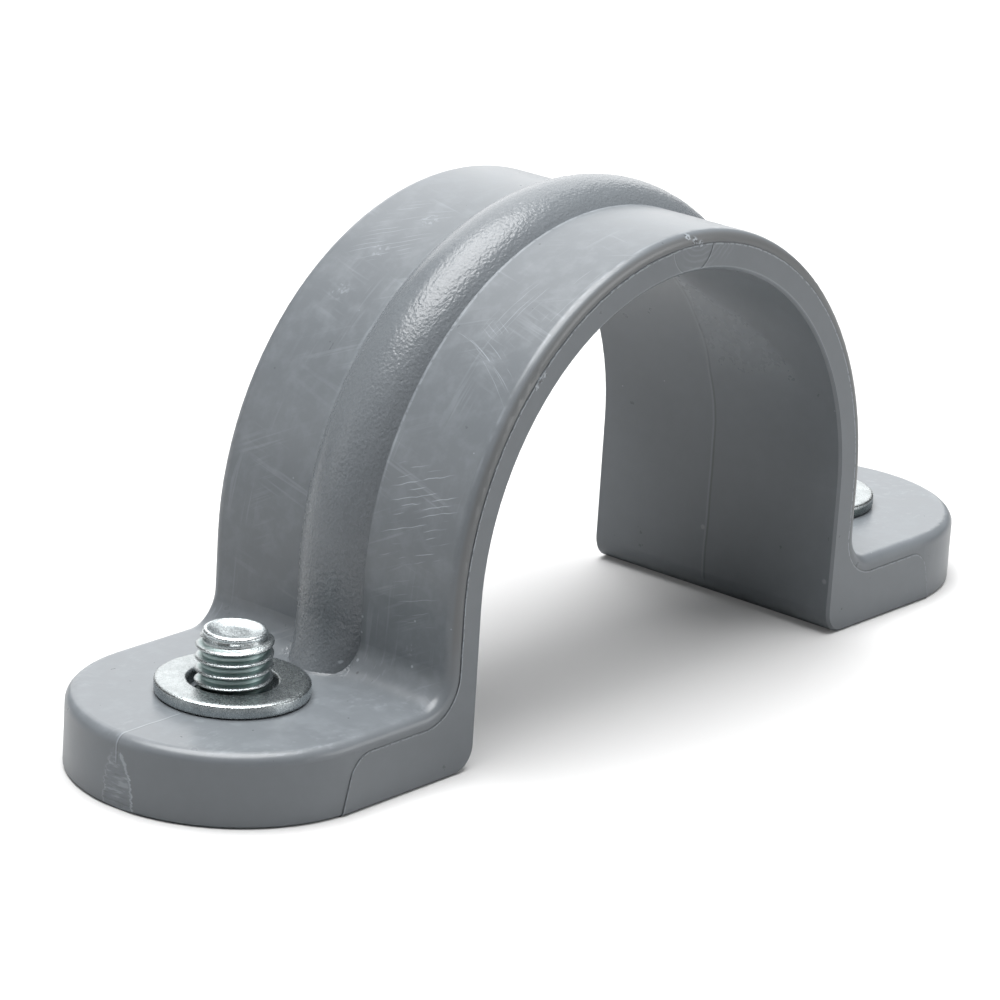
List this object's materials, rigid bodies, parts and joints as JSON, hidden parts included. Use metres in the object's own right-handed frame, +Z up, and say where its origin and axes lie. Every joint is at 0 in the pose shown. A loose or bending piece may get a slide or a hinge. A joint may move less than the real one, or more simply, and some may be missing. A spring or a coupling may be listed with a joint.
{
  "type": "conduit strap",
  "caption": "Half-round moulded plastic strap with an outer rib and round-ended lugs, each with an upright bolt and a flat washer, to hold a conduit against a surface.",
  "frame": {"origin": "on the mounting surface, midway between the bolts and halfway along the conduit seat", "axes": "+X along the strap from the left lug to the right lug, +Y along the conduit, +Z up, away from the mounting surface"},
  "size_m": [0.1306, 0.034, 0.054],
  "materials": {
    "strap_plastic": "moulded grey plastic, satin, with a fine orange-peel grain on the rib",
    "zinc_plate": "bright zinc plating with a faint blue-green tint"
  },
  "bodies": {
    "root": {"strap": "strap_plastic", "bolt_left": "zinc_plate", "bolt_right": "zinc_plate", "washer_left": "zinc_plate", "washer_right": "zinc_plate"}
  },
  "joints": []
}
